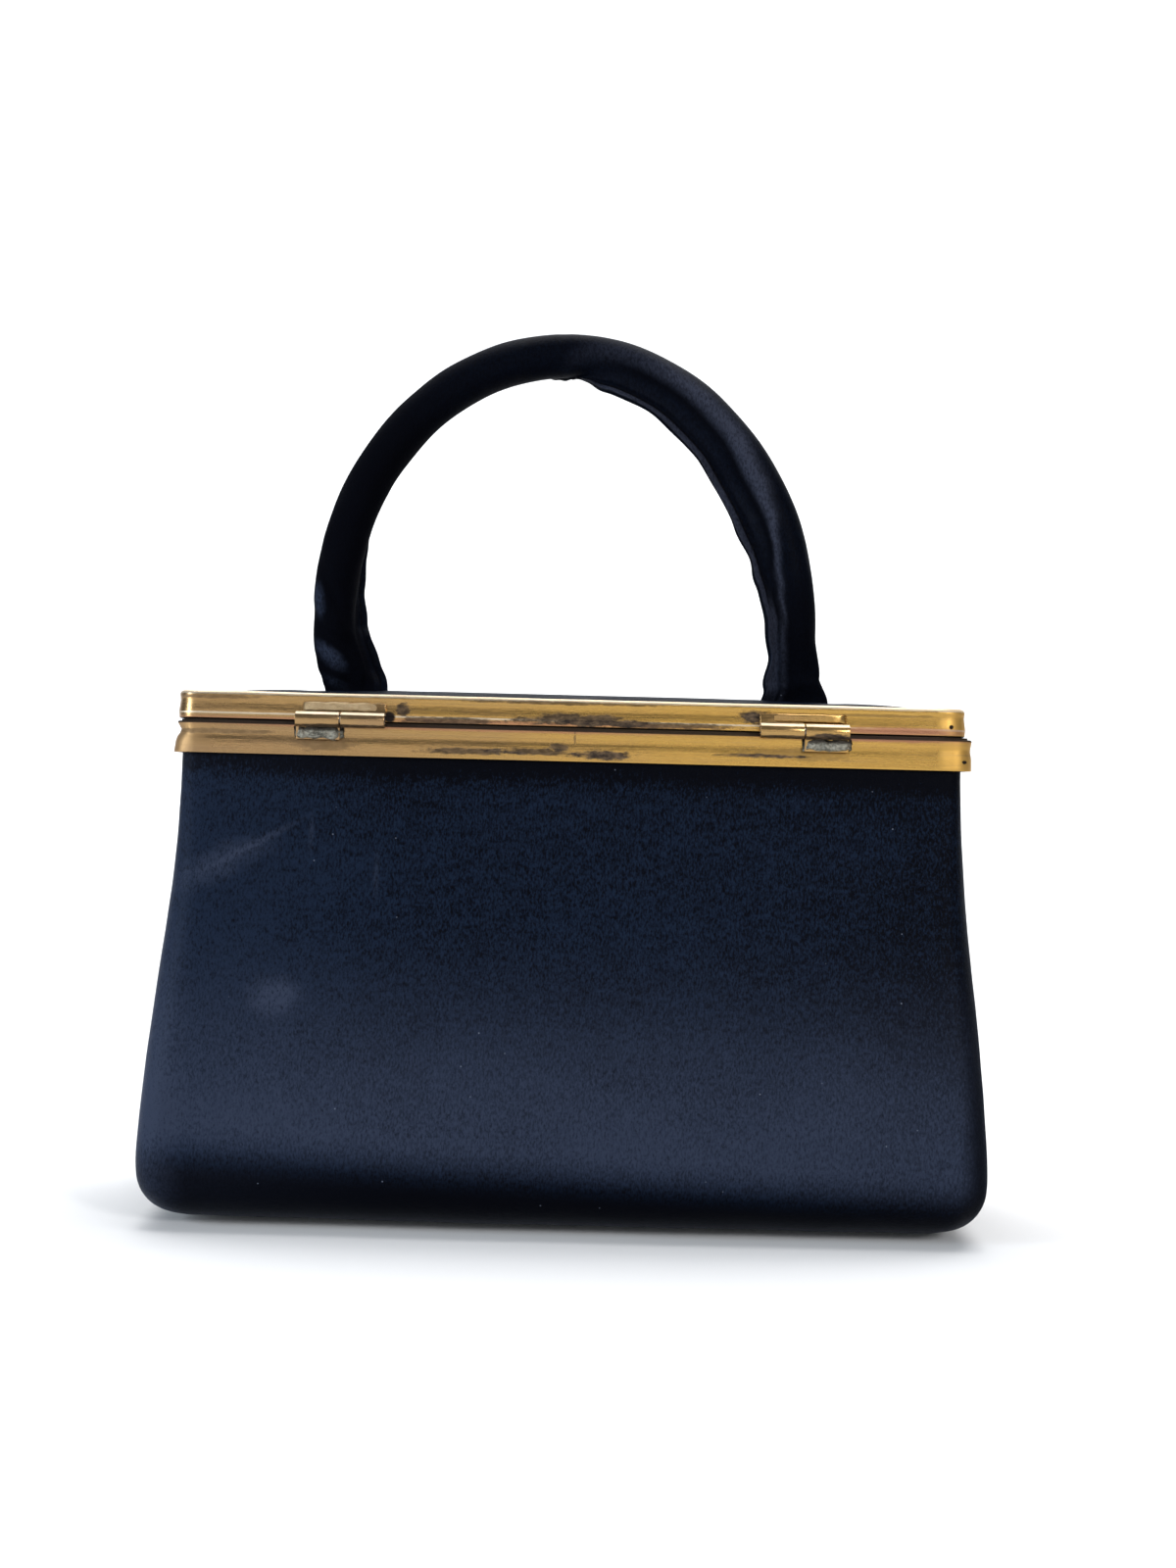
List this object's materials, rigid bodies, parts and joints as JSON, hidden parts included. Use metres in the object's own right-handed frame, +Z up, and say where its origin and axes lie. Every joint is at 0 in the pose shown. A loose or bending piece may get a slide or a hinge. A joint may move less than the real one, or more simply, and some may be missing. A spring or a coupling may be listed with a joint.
{
  "type": "box purse",
  "caption": "Rigid satin-covered box purse with a gold-tone frame, a hinged domed lid, a front flip clasp and an arched satin handle.",
  "frame": {"origin": "under the middle of the base, on the surface that the purse stands on", "axes": "+Z up, +X along the width, +Y towards the clasp side, so the hinged back faces -Y"},
  "size_m": [0.191, 0.0764, 0.2083],
  "materials": {
    "satin": "dark navy satin with a soft sheen",
    "lining": "dark matt lining cloth",
    "board": "grey pressed board",
    "wadding": "cotton wadding",
    "cord": "cotton cord",
    "gold_rim": "worn gold-tone plate",
    "gold_fitting": "gold-tone plate",
    "pin": "drawn wire"
  },
  "bodies": {
    "body": {"body_cover": "satin", "body_board": "board", "body_lining": "lining", "base_panel": "satin", "base_stiffener": "board", "lining_pocket": "lining", "body_rim": "gold_rim", "hinge_lower_leaf_left": "gold_fitting", "hinge_lower_leaf_right": "gold_fitting", "hinge_pin_left": "pin", "hinge_pin_right": "pin", "clasp_stud": "gold_fitting"},
    "lid": {"lid_rim": "gold_rim", "lid_cover": "satin", "lid_padding": "wadding", "lid_board": "board", "lid_lining": "lining", "hinge_upper_leaf_left": "gold_fitting", "hinge_upper_leaf_right": "gold_fitting", "clasp_plate": "gold_fitting", "clasp_pin": "pin", "handle_end_left": "satin", "handle_end_right": "satin"},
    "clasp_tab": {"clasp_tab": "gold_fitting"},
    "handle": {"handle_cover": "satin", "handle_core": "cord"}
  },
  "joints": [
    {"name": "lid_hinge", "type": "hinge", "parent": "body", "child": "lid", "pos_m": [0, -0.02905, 0.1143], "axis": [1, 0, 0], "range_deg": [0, 110]},
    {"name": "clasp_flip", "type": "hinge", "parent": "lid", "child": "clasp_tab", "pos_m": [0, 0.0288, 0.1172], "axis": [1, 0, 0], "range_deg": [0, 100]},
    {"name": "handle_tilt", "type": "hinge", "parent": "lid", "child": "handle", "pos_m": [0, 0, 0.1257], "axis": [1, 0, 0], "range_deg": [-60, 60], "deforming": ["handle_end_left", "handle_end_right"]}
  ]
}
